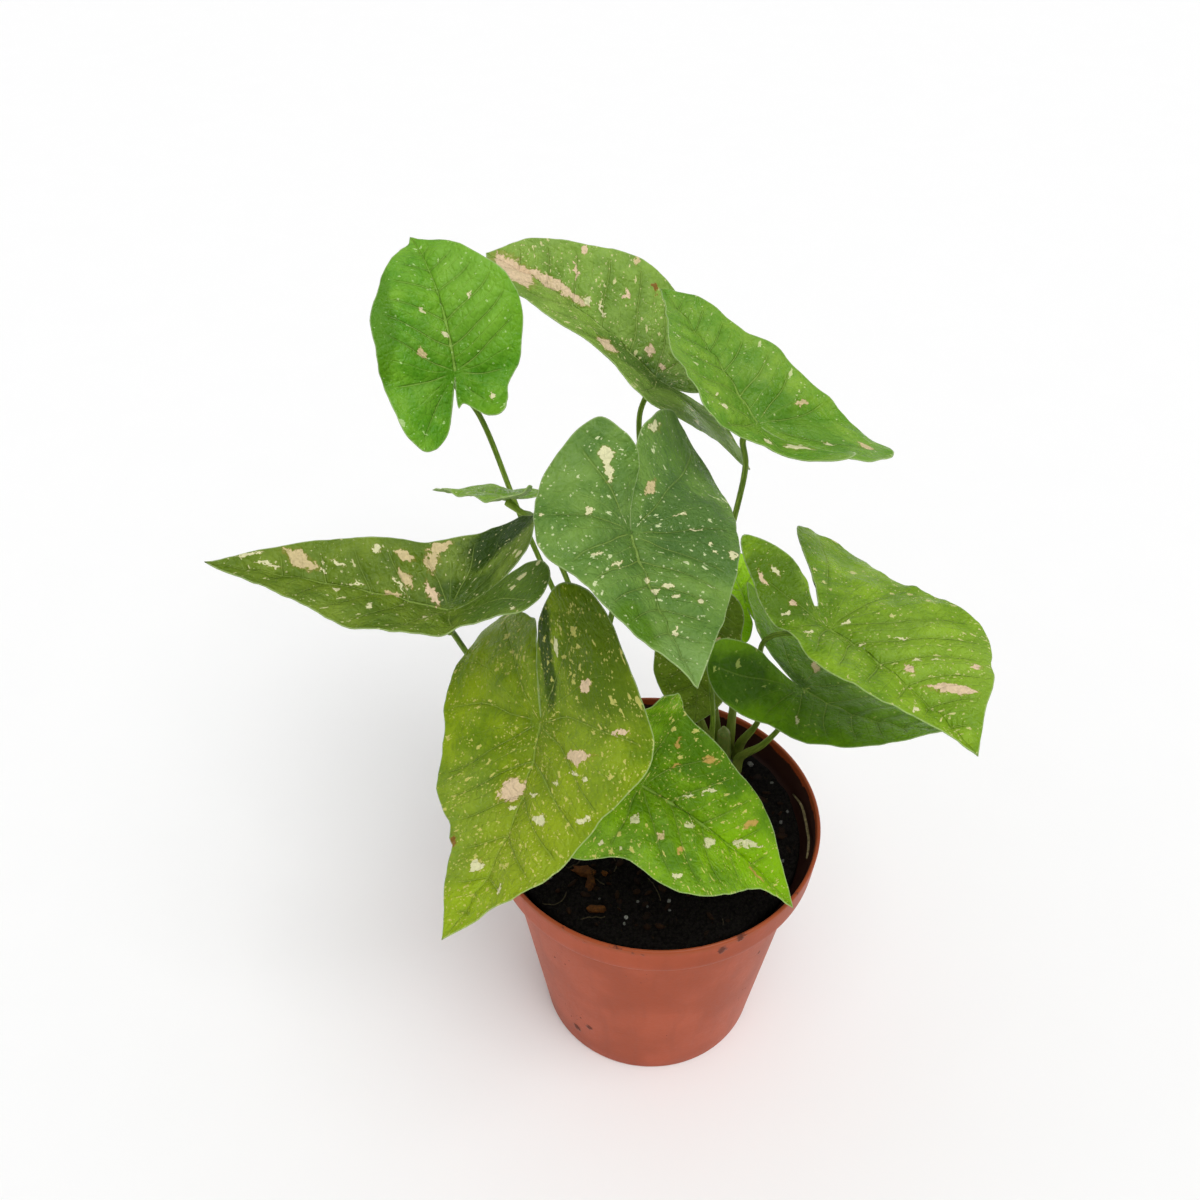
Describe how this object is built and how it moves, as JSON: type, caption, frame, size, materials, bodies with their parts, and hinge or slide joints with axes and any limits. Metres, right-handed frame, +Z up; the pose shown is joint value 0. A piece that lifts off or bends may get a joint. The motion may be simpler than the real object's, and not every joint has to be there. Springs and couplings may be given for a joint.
{
  "type": "arrowhead plant",
  "caption": "Arrowhead plant with speckled, arrow-shaped leaf blades on long stalks, growing in soil in a plain round nursery pot with a rim band.",
  "frame": {"origin": "middle of the pot's flat base, on the surface that the pot stands on", "axes": "+Z up; the largest blades lean to -Y, and the long dark blade points to -X"},
  "size_m": [0.2257, 0.1976, 0.2865],
  "materials": {
    "pot": "satin terracotta plastic",
    "soil": "matt potting mix of peat, bark and perlite",
    "stem": "smooth living stem",
    "petiole": "smooth living stalk",
    "leaf_bright": "satin bright green leaf with small pale flecks",
    "leaf_lime": "satin lime green leaf with pale flecks and salmon patches",
    "leaf_mid": "satin mid green leaf with cream flecks and patches",
    "leaf_dark": "satin dark green leaf with cream flecks"
  },
  "bodies": {
    "root": {"pot": "pot", "soil": "soil", "stem_1": "stem", "stem_2": "stem", "stem_3": "stem", "petiole_1": "petiole", "petiole_2": "petiole", "petiole_3": "petiole", "petiole_4": "petiole", "petiole_5": "petiole", "petiole_6": "petiole", "petiole_7": "petiole", "petiole_8": "petiole", "petiole_9": "petiole", "petiole_10": "petiole", "petiole_11": "petiole", "petiole_12": "petiole", "blade_1": "leaf_bright", "blade_2": "leaf_mid", "blade_3": "leaf_bright", "blade_4": "leaf_dark", "blade_5": "leaf_dark", "blade_6": "leaf_lime", "blade_7": "leaf_bright", "blade_8": "leaf_lime", "blade_9": "leaf_dark", "blade_10": "leaf_bright", "blade_11": "leaf_dark", "blade_12": "leaf_mid"}
  },
  "joints": []
}
